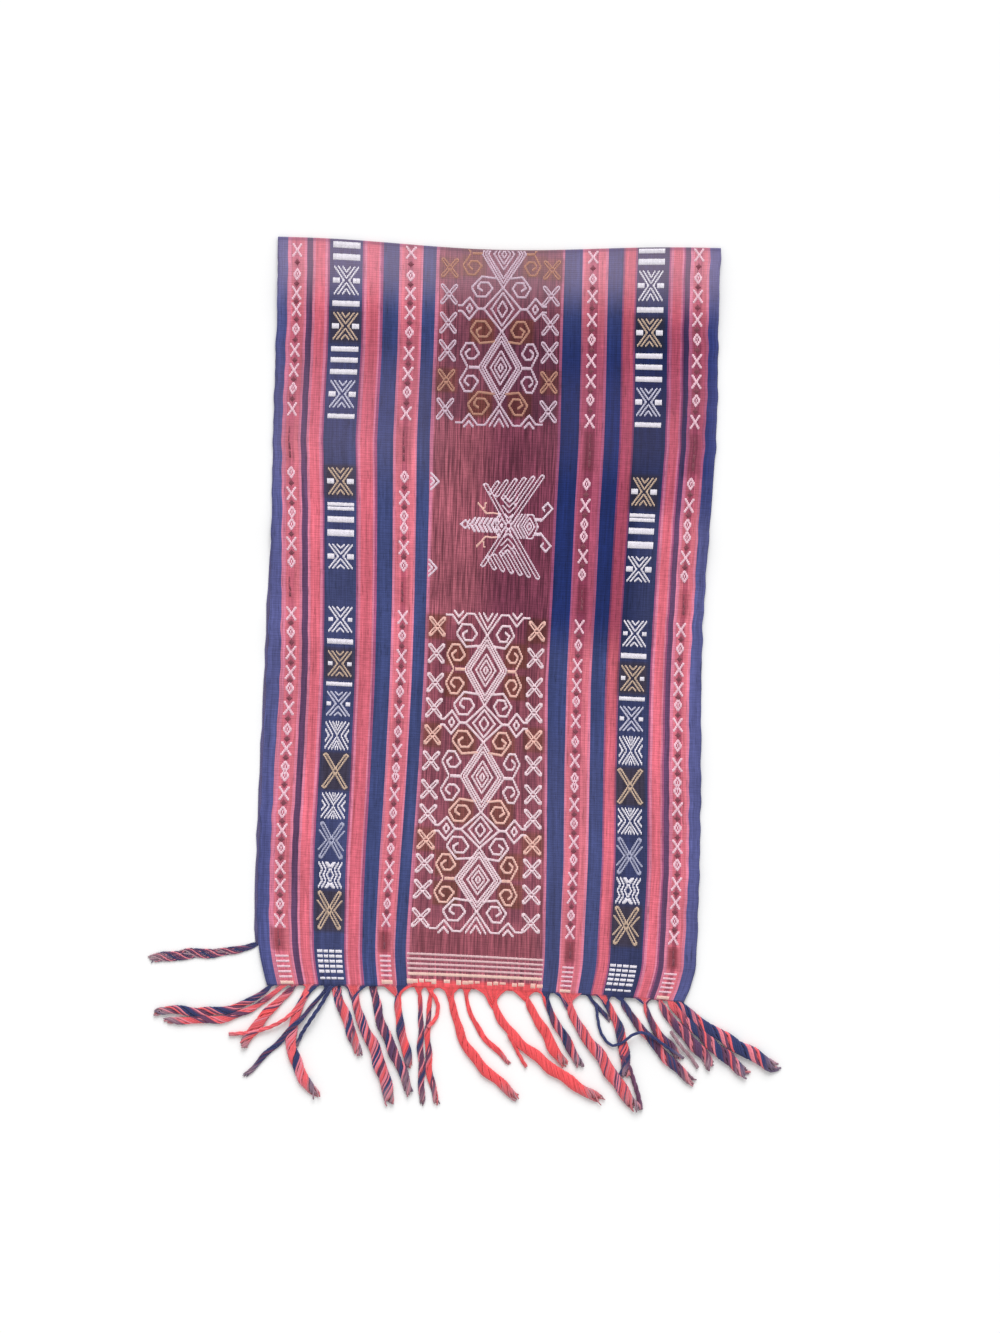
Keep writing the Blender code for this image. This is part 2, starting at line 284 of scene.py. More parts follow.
def bendPoint(u, turn):
    x, y = planPoint(u, np.zeros_like(u))
    radius = (lie["foldZ"] - lie["lowerZ"]) / 2
    angle = math.pi * (turn - 0.5)
    return np.stack((x, y + radius * np.cos(angle), lie["lowerZ"] + radius + radius * np.sin(angle)), -1)


def fillMesh(name, mesh, points, material, smooth=True):
    mesh.vertices.foreach_set("co", (np.asarray(points, float) * mm).ravel())
    mesh.update()
    mesh.polygons.foreach_set("use_smooth", [smooth] * len(mesh.polygons))
    mesh.materials.append(material)
    return place(name, mesh)


def addAttribute(mesh, name, kind, values):
    attribute = mesh.attributes.new(name, kind, "POINT")
    field = {"FLOAT_COLOR": "color", "FLOAT_VECTOR": "vector", "FLOAT": "value"}[kind]
    attribute.data.foreach_set(field, np.asarray(values, float).ravel())


def dress(piece, node):
    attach(piece, "root")
    if node:
        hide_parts(node)
    return piece


# Yarn colours, named as a weaver would ask for them: the warp's, the pattern yarns' and the tassels'.
yarns = {
    "selvedge": "#55588c", "pinkEdge": "#d67d97", "rose": "#d87282", "duskRose": "#b4566a",
    "softRose": "#cb677b", "dusk": "#5f4063", "coral": "#dc6b7c", "brick": "#d26576", "navy": "#3c426b",
    "slate": "#3c4676", "ink": "#333960", "plumEdge": "#a1557b", "panelEdge": "#c67490",
    "maroon": "#985060",
    "white": "#fbf6ff", "pinkWhite": "#ffe6ee", "warmWhite": "#ffd8e6", "mauveWhite": "#e4cadb",
    "lilacWhite": "#f6e0ee", "rowPink": "#f3cbd0", "greyWhite": "#dcdaee", "greyBlue": "#bcbdd6",
    "gold": "#dcc0a8", "copper": "#c9937f", "peach": "#ffcec2", "cream": "#ffd9ce", "darkDye": "#8c4456",
    "hotCoral": "#ee5a5f", "tasselCoral": "#e2626a", "candyPink": "#e07f8e", "purple": "#6a4260",
    "dusty": "#a98792", "cordNavy": "#363d6a",
}


def dyeOf(yarn):
    return np.array(toLinear(yarns[yarn]))


# Warp stripes: where each one starts across the cloth, in millimetres, and its yarn.
stripes = (
    (-250, "selvedge"), (-238, "pinkEdge"), (-233, "rose"), (-229.5, "softRose"), (-223, "rose"),
    (-217, "pinkEdge"), (-214.6, "dusk"), (-207.8, "pinkEdge"), (-204.8, "coral"),
    (-194.2, "pinkEdge"), (-191.2, "plumEdge"), (-188.8, "navy"),
    (-153, "plumEdge"), (-150.4, "pinkEdge"), (-148.2, "brick"), (-134.4, "pinkEdge"), (-132.2, "plumEdge"),
    (-129.8, "slate"), (-111.6, "pinkEdge"), (-108.5, "rose"), (-102.3, "duskRose"), (-96.5, "rose"),
    (-88.6, "pinkEdge"), (-86.2, "slate"), (-73.2, "panelEdge"), (-68.8, "maroon"),
    (68.6, "panelEdge"), (71.4, "slate"), (92.8, "pinkEdge"), (95.4, "rose"), (102.5, "duskRose"),
    (111.5, "rose"), (120, "pinkEdge"), (122.6, "slate"), (139, "plumEdge"), (141.2, "brick"),
    (152.4, "plumEdge"), (154.4, "ink"), (191, "plumEdge"), (193.2, "pinkEdge"), (195.6, "coral"),
    (205.2, "pinkEdge"), (207.6, "plumEdge"), (209.6, "dusk"), (215.8, "pinkEdge"), (218.8, "rose"),
    (223.2, "duskRose"),
    (228.8, "rose"), (234.6, "pinkEdge"), (238, "selvedge"),
)

# Painted shade and painted light, as boxes: where the cloth's colour is darkened for shade that falls across
# its soft folds, over much of its right half and in a thin dark line along the fold, and darker along the
# lower left selvedge; and where it is paled for light that falls near the fold and a faint haze elsewhere.
# The first line gives the painted shade's tints on pink and on navy yarn and the painted light's pale tint.
# For each box: across from and to, along from and to, the width of the soft edges across and along, and how
# strong.
pinkShade, navyShade, paintedLightTint = (0.53, 0.42, 0.58, 1.0), (0.20, 0.35, 0.66, 1.0), "#e8c8d6"
paintedShadeBoxes = (
    (-8, 165, 84, 340, 46, 110, 0.95), (-8, 165, 240, 446, 46, 64, 1.0), (150, 253, 80, 200, 30, 50, 0.9),
    (190, 210, 24, 90, 8, 40, 0.4), (150, 262, 150, 300, 30, 50, 0.6), (205, 250, 175, 268, 20, 40, 1.0),
    (-262, 0, 90, 222, 60, 60, 0.34), (-262, 262, -60, 1.8, 60, 2.5, 1.0),
    (-60, 120, 428, 600, 80, 60, 0.10), (-262, -237, 620, 900, 14, 160, 0.28),
)
paintedLightBoxes = (
    (-262, 262, -90, 58, 60, 60, 0.16), (-262, -60, 140, 262, 60, 90, 0.05),
    (60, 262, 150, 250, 60, 60, 0.02), (-70, 150, 560, 900, 60, 90, 0.015),
)


# Warp-faced cotton, dyed in the yarn and woven tight, so the eye sees matte stripes with fine ribs along
# the warp, streaks where the dye took unevenly and a faint bloom of loose fibre. Ribs and wefts are drawn
# over twice as wide as the real threads, so that they show.
clothLook = {
    "ribWidth": 0.0022, "weftWidth": 0.0026, "ribs": 0.6, "wefts": 0.35, "bump": 0.5, "bumpDepth": 0.0005,
    "panelEdge": (0.0705, 0.0675), "panelStreaks": 0.62, "darkStreak": "#63303f", "rosyStreak": "#b86674",
    "roughness": 0.88, "sheen": 0.12,
}
# How the dye varies: how fine across and along, with how much detail, which stretch of the noise counts,
# and how dark and how pale it makes the cloth there.
dyeNoise = {
    "threads": (640.0, 22.0, 2.0, 0.3, 0.7, 0.82, 1.17),     # single warps, drawn about 1.6 mm across
    "groups": (210.0, 5.0, 3.0, 0.3, 0.7, 0.78, 1.20),       # bundles that took the dye alike
    "blots": (16.0, 8.0, 3.0, 0.3, 0.7, 0.88, 1.12),         # fading over a hand's width
    "picks": (90.0, 430.0, 2.0, 0.3, 0.7, 0.88, 1.12),       # weft that shows between the warps
    "slubs": (520.0, 46.0, 2.0, 0.60, 0.70, 1.0, 0.66),      # dark warps that come and go
}


def stripeRamp(tree, across, low, high):
    node = addNode(tree, "ValToRGB", {0: spread(tree, across, low * mm, high * mm)})
    ramp = node.color_ramp
    ramp.interpolation = "CONSTANT"
    ramp.elements.remove(ramp.elements[-1])
    ends = [start for start, _ in stripes[1:]] + [lie["halfWidth"]]
    inside = [(max((start - low) / (high - low), 0.0), yarn)
              for (start, yarn), end in zip(stripes, ends) if end > low and start < high]
    for i, (place, yarn) in enumerate(inside):
        stop = ramp.elements[0] if i == 0 else ramp.elements.new(place)
        stop.position = place
        stop.color = toLinear(yarns[yarn])
    return node.outputs[0]


def clothMaterial():
    look = clothLook
    material, tree, surface = newMaterial("woven_cotton_cloth")
    weave, ground, paintedShadeLight = (addNode(tree, "Attribute", attribute_name=name).outputs
                           for name in ("weave", "ground", "paintedShadeLight"))
    across, along = addNode(tree, "SeparateXYZ", {0: weave["Vector"]}).outputs[:2]
    halves = [stripeRamp(tree, across, low, high) for low, high in ((-250, 0), (0, 250))]
    colour = blend(tree, combine(tree, "GREATER_THAN", across, 0.0), *halves)
    shade, noises = 1.0, {}
    for name, (fineAcross, fineAlong, detail, low, high, dark, pale) in dyeNoise.items():
        noises[name] = noiseOver(tree, weave["Vector"], (fineAcross, fineAlong, 1.0), detail)
        shade = combine(tree, "MULTIPLY", spread(tree, noises[name], low, high, dark, pale), shade)
    # The middle panel is streakier: its warp was tied and dyed, so dark and rosy threads lie side by side.
    inPanel = spread(tree, combine(tree, "ABSOLUTE", across), *look["panelEdge"], 0.0, look["panelStreaks"])
    streaky = blend(tree, spread(tree, noises["threads"], 0.38, 0.62), toLinear(look["darkStreak"]),
                    toLinear(look["rosyStreak"]))
    dyed = blend(tree, ground["Alpha"], blend(tree, inPanel, colour, streaky), ground["Color"])
    # Painted shade: the cloth's colour is darkened where shade falls, cooler and deeper on the navy yarn
    # than on the pink.
    dark = addNode(tree, "SeparateColor", {0: paintedShadeLight["Color"]}).outputs[0]
    red, _, blue = addNode(tree, "SeparateColor", {0: colour}).outputs
    onNavy = spread(tree, combine(tree, "SUBTRACT", blue, red), -0.02, 0.02)
    shadeTint = blend(tree, dark, (1.0, 1.0, 1.0, 1.0), blend(tree, onNavy, pinkShade, navyShade))
    tinted = addNode(tree, "VectorMath", {0: dyed, 1: shadeTint}, operation="MULTIPLY")
    scaled = addNode(tree, "VectorMath", {0: tinted.outputs[0], 3: shade}, operation="SCALE")
    relief = combine(tree, "MULTIPLY_ADD", waveOver(tree, across, look["ribWidth"]), look["ribs"],
                     noises["threads"])
    relief = combine(tree, "MULTIPLY_ADD", waveOver(tree, along, look["weftWidth"]), look["wefts"], relief)
    # Painted light: a pale tint is mixed in where light falls brightest, near the fold, and as a faint haze.
    final = blend(tree, paintedShadeLight["Alpha"], scaled.outputs[0], toLinear(paintedLightTint))
    finishCotton(tree, surface, final, relief, look)
    return material


groundPatches = []     # where the ground's dye changes round a motif: middle, reach, dye and strength

# The cloth: one sheet from the lower end round the fold to the hem.
sheetSize = {"columns": 125, "lowerRows": 46, "bendRows": 8, "upperRows": 236}


def makeCloth(material):
    size = sheetSize
    rows = size["lowerRows"] + size["bendRows"] + size["upperRows"]
    mesh = gridMesh("woven_cloth", size["columns"], rows, 1.0)
    flat = np.zeros(len(mesh.vertices) * 3)
    mesh.vertices.foreach_get("co", flat)
    flat = flat.reshape(-1, 3)
    u = flat[:, 0] * lie["halfWidth"]
    row = np.rint((flat[:, 1] + 1) / 2 * rows)
    bendStart, bendEnd = size["lowerRows"], size["lowerRows"] + size["bendRows"]
    turn = np.interp(row, (bendStart, bendEnd), (0, 1))
    lowerV = np.interp(row, (0, bendStart), (lie["lowerLength"], 0))
    upperV = np.interp(row, (bendEnd, rows), (0, lie["upperLength"]))
    points = np.where((turn > 0)[:, None], bendPoint(u, turn), lowerPoint(u, lowerV))
    points = np.where((turn >= 1)[:, None], upperPoint(u, upperV), points)
    addAttribute(mesh, "weave", "FLOAT_VECTOR", np.stack((u, upperV - lowerV, 0 * u), -1) * mm)
    addAttribute(mesh, "ground", "FLOAT_COLOR", groundColours(u, upperV))
    # Painted shade and painted light at each point of the sheet.
    addAttribute(mesh, "paintedShadeLight", "FLOAT_COLOR", fading(u, upperV))
    piece = fillMesh("woven_cloth", mesh, points, material)
    shell = piece.modifiers.new("thickness", "SOLIDIFY")
    shell.thickness = lie["thick"] * mm
    shell.offset = 0.0
    shell.use_even_offset = True
    return dress(piece, "cloth")


# Raised pattern yarns. Each motif is drawn with strokes that become short floats of yarn along the warp,
# side by side, the way a weaver counts them out; a slanting line is a stair of floats.
floatSize = {"pitch": 1.3, "width": 1.32, "rise": 0.42, "sink": 0.3, "longest": 9.6, "gap": 0.35,
             "wander": 0.2, "body": 0.9, "seed": 21}
floatRuns = {}


def newPen(piece, yarn, u, v=0.0):
    return {"piece": piece, "yarn": yarn, "u": u, "v": v}


def addRun(pen, u, low, high):
    floatRuns.setdefault((pen["piece"], pen["yarn"], round(u, 2)), []).append((low, high))


def stroke(pen, points, depth=1.8):
    pitch = floatSize["pitch"]
    for start, end in zip(points, points[1:]):
        (u0, v0), (u1, v1) = sorted((start, end))
        first, last = round(u0 / pitch), round(u1 / pitch)
        for column in range(first, last + 1):
            if u1 - u0 < 0.01:
                low, high = v0, v1
            else:
                near, far = (min(max((column * pitch + half - u0) / (u1 - u0), 0.0), 1.0)
                             for half in (-pitch / 2, pitch / 2))
                low, high = sorted((v0 + (v1 - v0) * near, v0 + (v1 - v0) * far))
            half = (depth + floatSize["body"]) / 2
            addRun(pen, pen["u"] + column * pitch, pen["v"] + low - half, pen["v"] + high + half)


leftRight, upDown = ((-1, 1), (1, 1)), ((1, -1), (1, 1))


def strokeTwice(pen, points, depth, ways):
    for side, turn in ways:
        stroke(pen, [(side * u, turn * v) for u, v in points], depth)


def chevron(pen, u, back, halfV, depth):
    stroke(pen, ((u + back, -halfV), (u, 0), (u + back, halfV)), depth)


def block(pen, u0, u1, v0, v1, darkColumns=()):
    pitch = floatSize["pitch"]
    for column in range(math.ceil(u0 / pitch), math.floor(u1 / pitch) + 1):
        if column not in darkColumns:
            addRun(pen, pen["u"] + column * pitch, pen["v"] + v0, pen["v"] + v1)


def barRow(pen, halfU, halfV, darkColumns=()):
    block(pen, -halfU, halfU, -halfV, halfV, darkColumns)


def diamond(pen, u, v, halfU, halfV, depth=1.8):
    stroke(pen, ((u, v - halfV), (u + halfU, v), (u, v + halfV), (u - halfU, v), (u, v - halfV)), depth)


def loop(pen, start, end, gap, depth=0.4):
    for side in (-gap / 2, gap / 2):
        stroke(pen, ((start[0] + side, start[1]), (end[0] + side, end[1])), depth)
    for (u, v), way in ((start, -1), (end, 1)):
        tip = v + way * 1.8 * (1 if end[1] > start[1] else -1)
        stroke(pen, ((u - gap / 2, v), (u, tip), (u + gap / 2, v)), depth + 0.5)


# Crossed glasses: how far out the bent side strands and the nested strands start and end, and the white
# ears at the waist, which are smaller in the lower half of the cloth.
glass = {"outer": 13.4, "waist": 2.8, "nested": ((8.9, 2.6), (4.2, 9.6)), "earU": 10.9, "ear": 3.5,
         "smallEar": 2.7, "smallFrom": 400}


def hourglass(pen, halfV):
    end = halfV - 1
    strokeTwice(pen, ((glass["outer"], -end), (glass["waist"], 0), (glass["outer"], end)), 1.1, leftRight)
    for wide, tip in glass["nested"]:
        strokeTwice(pen, ((-wide, end), (0, tip), (wide, end)), 1.0, upDown)
    ear = glass["ear"] if pen["v"] < glass["smallFrom"] else glass["smallEar"]
    for middle in (-glass["earU"], glass["earU"]):
        block(dict(pen, yarn="white"), middle - ear, middle + ear, -ear, ear)


def waistedGlass(pen, halfU, halfV):
    for row in range(3):
        wide = halfU - 4.2 - row * 3.8
        strokeTwice(pen, ((-wide, halfV), (0, row * 4.6 + 1), (wide, halfV)), 0.9, upDown)
    for inset, waist in ((1, 4.6), (9, 9.2)):
        strokeTwice(pen, ((halfU, inset - halfV), (waist, 0), (halfU, halfV - inset)), 1.2, leftRight)


def outlinedCross(pen, halfU, halfV, chevrons=False, gap=4.0):
    loop(pen, (-halfU, -halfV), (halfU, halfV), gap, 1.2)
    loop(pen, (halfU, -halfV), (-halfU, halfV), gap, 1.2)
    if chevrons:
        strokeTwice(pen, ((14, -11), (5.6, 0), (14, 11)), 1.2, leftRight)


def zigzagBlock(pen, halfV):
    for row in range(3):
        points = [(13.5 - row * 4.2 - step, v * halfV)
                  for step, v in ((0, -1), (4.5, -0.45), (1.5, 0), (4.5, 0.45), (0, 1))]
        strokeTwice(pen, points, 1.7, leftRight)
    strokeTwice(pen, ((-3.5, halfV), (0, halfV * 0.7), (3.5, halfV)), 1.7, upDown)


# What stands in the two navy bands, from the fold to the hem: motif, start, end and, if not white, yarn.
navyBandMotifs = (
    ("bar", 0.8, 8.6), ("bar", 15.0, 22.8), ("glass", 29, 64), ("bar", 70, 76.5),
    ("glass", 82.5, 115.5, "gold"), ("bar", 122, 128), ("bar", 134.5, 140.5), ("bar", 148, 154),
    ("glass", 160, 193, "greyWhite"), ("bar", 199, 204.5), ("glass", 260, 293, "gold"), ("bar", 301, 310),
    ("bar", 317, 324), ("bar", 332, 340), ("glass", 348, 378), ("glass", 419.5, 450.5), ("bar", 457, 463),
    ("glass", 470, 500.5, "gold"), ("bar", 506, 510.5), ("glass", 516, 545.5, "greyWhite"),
    ("waisted", 550.5, 583), ("cross", 588, 626, "gold"), ("waisted", 631.5, 661.5),
    ("chevronCross", 666, 706, "greyBlue"), ("zigzag", 711, 740.5), ("chevronCross", 745, 787, "gold"),
    ("bar", 840.6, 843),
) + tuple(("bar", v, v + 3.2) for v in (810.4, 816, 821.6, 827.2, 832.8))
# In the four pink bands small crosses and diamonds take turns, and rows and a patch end them at the hem.
pinkBandMotifs = {
    "cross": (8, 56.5, 75.5, 122, 145, 190, 287.5, 345.5, 425, 469.5, 492, 532.5, 578.5, 629.5, 672, 714.5,
              735.5, 776),
    "diamond": (35.5, 98, 166, 263, 309, 323, 366, 446, 510, 556.5, 599, 609, 651, 692.5, 757),
    "bar": (814, 819.5, 825, 830.5, 836),
    "patch": (843,),
}
pinkBandEnd = 847.0
# The dyed streak down each pink band: the plain stretches where it is darkest and the others.
plainStretches = ((214, 252), (388, 412), (790, 808))
patternedStretches = ((4, 198), (256, 374), (418, 784))


# Each pink band: its middle, how far off it the dark streak lies, how dark its dyed stretches are, and how
# much lower than in the table its motifs lie, from the fold to the hem.
laterAt = (0, 60, 75, 200, 270, 330, 450, 530, 620, 790, 815)
pinkBands = (
    ("left_pattern_yarns", -226.0, -2.2, 0.2, (5, 6, 6, 5, 5, 5, 6, 6, 6, 3.5, 4.5)),
    ("left_pattern_yarns", -98.6, -1.6, 0.38, (0, 2, 5.5, 6.5, 6, 4.5, 4, 3, 0.5, -1.5, 1.5)),
    ("right_pattern_yarns", 105.7, 0.8, 0.6, (0.5, 1.5, 9.5, 9.5, 7, 6, 5, 4, 1.5, 1.5, 4.5)),
    ("right_pattern_yarns", 225.3, 0.6, 0.5, (-1, 0.5, 8, 7, 2.5, 2.5, 3.5, 2.5, 0.5, 0, 3.5)),
)


def drawNavyBand(piece, middleU, early):
    for motif, start, end, *yarn in navyBandMotifs:
        start, end = (v - early * float(np.interp(v, (0, 8, 35, 66), (0.3, 1.0, 1.0, 0.0)))
                      for v in (start, end))
        pen = newPen(piece, *(yarn or ["white"]), middleU, (start + end) / 2)
        halfV = (end - start) / 2 - 0.3
        if motif == "bar":
            # The thin rows near the hem are crossed by three dark warps.
            barRow(pen, 15.0, halfV + 0.7, () if end - start > 3.4 else (-6, -1, 5))
        elif motif == "glass":
            hourglass(pen, halfV)
        elif motif == "waisted":
            waistedGlass(pen, 13.6, halfV)
        elif motif == "cross":
            outlinedCross(pen, 11.7, halfV - 1)
        elif motif == "chevronCross":
            outlinedCross(pen, 11.2, halfV - 1, chevrons=True)
        else:
            zigzagBlock(pen, halfV)
        if yarn == ["gold"]:
            groundPatches.append((middleU, pen["v"], 17, halfV + 3, "#3b3138", 0.75))


def drawPinkBand(piece, middleU, streakU, dyed, later):
    pen = newPen(piece, "warmWhite", middleU)
    placed = {motif: [v + float(np.interp(v, laterAt, later)) for v in places]
              for motif, places in pinkBandMotifs.items()}
    for v in placed["cross"]:
        strokeTwice(dict(pen, v=v), ((-4.6, -6.6), (4.6, 6.6)), 2.5, upDown)
    for v in placed["diamond"]:
        diamond(dict(pen, v=v), 0, 0, 3.9, 5.8, 2.6)
        block(dict(pen, v=v), -0.6, 0.6, -2.2, 2.2)
    for v in placed["bar"]:
        barRow(dict(pen, v=v), 6.6, 1.5)
    for v in placed["patch"]:
        block(dict(pen, v=min(v, pinkBandEnd), yarn="cream"), -6.6, 6.6, -2.4, 3.2)
    # The dark warps in the middle of the band show as small dark diamonds between the white ones, and as a
    # thin broken streak where the band is plain.
    places = sorted(placed["cross"] + placed["diamond"])
    for low, high in zip(places, places[1:]):
        between = newPen(piece, "darkDye", middleU, (low + high) / 2)
        if 16 < high - low < 34:
            for halfU, depth in ((2.6, 1.4), (1.3, 4.6)):
                stroke(between, ((-halfU, 0), (0, 0), (halfU, 0)), depth)
            block(between, -0.6, 0.6, -4.6, 4.6)
    for low, high in patternedStretches:
        groundPatches.append((middleU, (low + high) / 2, 3.4, (high - low) / 2, "#9a5066", 0.34))
    streak = newPen(piece, "darkDye", middleU + streakU)
    for (low, high), strength in zip(plainStretches, (dyed, dyed, 0.9)):
        groundPatches.append((streak["u"], (low + high) / 2, 6.2, (high - low) / 2 + 3, "#8a3e4a", strength))
        block(streak, -0.6, 0.6, low, high)
        block(streak, 0.7, 1.4, (low + high) / 2, high)


# The middle panel: a chain of big and middling diamonds that share their tips, with six-sided hooks at
# the tips and waists, a column of crosses on each side and a zigzag at the ends.
panel = {"bigU": 24.6, "middleU": 20.8, "crossU": 57.5, "crossHalfU": 7.7}
tipHook = ((16, -12), (-0.4, -14), (-11.7, 0.5), (-5.4, 11.3), (4.4, 11.3), (11.5, 1), (6.6, -6.4),
           (-2, -6.4), (-5.4, 0.2), (0.2, 4.0))
waistHook = ((-2.2, 16.2), (-10.2, 1.2), (-4, -10.2), (3.4, -10.2), (10.4, 1.4), (5.2, 7.4), (-1.3, 7.4),
             (-5, 1.2), (-0.2, -3.2))
sectionEnd = ((0, 0), (15.6, 23.6), (24, 23.6), (33.5, 11.5), (41, 21.5), (48, 21.5))


def hook(pen, shape, u, v, turnV):
    for side, wide, out in ((-1, 1.03, 1.6), (1, 0.88, -1.2)):   # the hooks at the right are narrower
        stroke(pen, [(side * (u + out - du * wide), v + turnV * dv) for du, dv in shape], 2.3)
        if pen["yarn"] in ("copper", "peach"):
            groundPatches.append((pen["u"] + side * u, pen["v"] + v, 14, 15, "#6b3a2c", 0.8))


def bigDiamond(pen, low, high, hookYarn):
    v, halfV = (low + high) / 2, (high - low) / 2
    for share in (1.0, 0.865, 0.73, 0.46, 0.29):
        diamond(pen, 0, v, panel["bigU"] * share, halfV * share, 1.7)
    diamond(pen, 0, v, panel["bigU"] * 0.11, halfV * 0.11, 1.6)
    if hookYarn:
        side = dict(pen, yarn=hookYarn)
        for turnV in (-1, 1):
            hook(side, waistHook, 33.8, v + turnV * 17.4, -turnV)
        for middle in (-30, 30):
            block(side, middle - 5.4, middle + 5.4, v - 2.2, v + 2.2)


def middlingDiamond(pen, low, high):
    v, halfV = (low + high) / 2, (high - low) / 2
    diamond(pen, 0, v, panel["middleU"], halfV, 2.2)
    diamond(pen, 0, v, 12.4, halfV * 0.76, 1.9)
    diamond(pen, 0, v, 5.6, halfV * 0.37, 1.8)
    for side in (-1, 1):
        block(pen, side * 22.8 - 3.4, side * 22.8 + 3.4, v - 1.8, v + 1.8)
        diamond(pen, side * 37, v, 3.2, 5.2, 1.8)
    strokeTwice(pen, ((49.5, v - 3.4), (45.5, v - 3.2), (37, v - 13), (27.5, v), (37, v + 13),
                      (45.5, v + 3.2), (49.5, v + 3.4)), 2.2, leftRight)


def panelSection(pen, tips, tipYarns, waistYarns, ends):
    for i, (low, high) in enumerate(zip(tips, tips[1:])):
        if i % 2 == 0:
            bigDiamond(pen, low, high, waistYarns[i // 2])
        else:
            middlingDiamond(pen, low, high)
    for v, yarn, turnV in tipYarns:
        hook(dict(pen, yarn=yarn), tipHook, 22.0, v, turnV)
    for v, turnV in ends:
        for points, depth in ((sectionEnd, 2.0), (((28.5, 26), (33.5, 19.5), (38.5, 26)), 2.2)):
            strokeTwice(pen, [(du, v + turnV * dv) for du, dv in points], depth, leftRight)
        for tip, wide in ((6.5, 10.6), (16, 5.2)):
            stroke(pen, [(du, v + turnV * dv) for du, dv in ((-wide, 25), (0, tip), (wide, 25))], 2.0)


def crossColumns(pen, places, goldPlaces, goldYarn, halfV):
    for v in places:
        for side in (-1, 1):
            yarn = goldYarn if v in goldPlaces else pen["yarn"]
            cross = dict(pen, yarn=yarn, u=pen["u"] + side * panel["crossU"], v=v)
            outlinedCross(cross, panel["crossHalfU"], halfV)
            if v in goldPlaces:
                groundPatches.append((cross["u"], v, 12, 14, "#6b3a2c", 0.75))


def drawPanel(piece):
    pen = newPen(piece, "mauveWhite", 3.6)
    panelSection(pen, (-40, 47.5, 99.5, 183.5),
                 ((47.5, "mauveWhite", 1), (99.5, "copper", -1), (183.5, "copper", 1)),
                 ("copper", "mauveWhite"), ((183.5, 1),))
    crossColumns(dict(pen, u=0.6), (24, 57, 91, 123, 157, 190), (24, 157), "copper", 10.2)
    pen = newPen(piece, "pinkWhite", -0.5)
    panelSection(pen, (445, 524, 565.5, 645, 686, 760),
                 ((445, "pinkWhite", -1), (524, "pinkWhite", 1), (565.5, "peach", -1), (645, "peach", 1),
                  (686, "pinkWhite", -1), (760, "pinkWhite", 1)),
                 ("peach", "pinkWhite", "peach"), ((445, -1), (760, 1)))
    crossColumns(dict(pen, u=-1.0), (437.5, 468, 501, 529.5, 560, 589.5, 622, 650, 679.5, 707, 737, 770),
                 (437.5, 560, 679.5), "peach", 9.0)
    groundPatches.extend(((3.6, 92, 62, 108, "#5e3548", 0.55), (-0.5, 602, 62, 168, "#6a3446", 0.42),
                          (0, 797, 62, 16, "#7a3843", 0.5), (0, 847, 69, 5.5, "#e8565c", 1.0)))


# The rows that end the middle panel at the hem: four thin ones, a thicker one and one of patches, cream at
# the left and peach at the right.
hemRows = {"thin": (811.5, 817.2, 822.8, 828.4), "thinHalf": 1.6, "thick": 834.4, "thickHalf": 2.2,
           "halfU": 71, "patches": 22, "patchStep": 6.6, "patchV": 842.0, "creamPatches": 9}


def drawHemRows(piece):
    for v in hemRows["thin"]:
        barRow(newPen(piece, "rowPink", 0.0, v), hemRows["halfU"], hemRows["thinHalf"])
    barRow(newPen(piece, "cream", 0.0, hemRows["thick"]), hemRows["halfU"], hemRows["thickHalf"])
    for k in range(hemRows["patches"]):
        yarn = "cream" if k < hemRows["creamPatches"] else "peach"
        row = newPen(piece, yarn, k * hemRows["patchStep"] - 69.3, hemRows["patchV"])
        if k % 7 != 5 and k % 9 != 7:
            block(row, -3.3, 3.2 - k % 3 * 0.8, -2.4 + k % 2 * 0.6, 4.4 - k % 4 * 0.9)


# The bird is put together from its parts on its own sizes: a body of chevrons and diamonds, two pairs of
# long wing loops with feathers between them, a tail of chevrons, a pointed head, two curled feelers and
# two peach legs.
bird = {"u": 18.5, "v": 320.5, "frontTip": (36, 57), "rearTip": (-27.5, 45.5), "feathers": 5,
        "tailChevrons": 6, "bodyChevrons": 4}


def drawWings(pen):
    front, rear = bird["frontTip"], bird["rearTip"]
    loops = [((2.4, 4), front, 4.6), ((-2.4, 4), rear, 4.6)]
    for k in range(bird["feathers"]):
        top = (9.9 * k - 14.0, 48.5 + 1.7 * k)
        reach = 0.207 + 0.077 * k
        loops.append(((top[0] - front[0] * reach, top[1] - front[1] * reach), top, 4.2))
    for turnV in (-1, 1):
        for foot, top, gap in loops:
            loop(pen, (foot[0], turnV * foot[1]), (top[0], turnV * top[1]), gap, 0.5)
    for deep, wide in ((3, 2.6), (8.5, 4.5), (14.5, 7.2), (21, 8.6), (27.5, 6.4)):
        strokeTwice(pen, ((-wide, deep + wide * 1.1), (0, deep), (wide, deep + wide * 1.1)), 0.7, upDown)


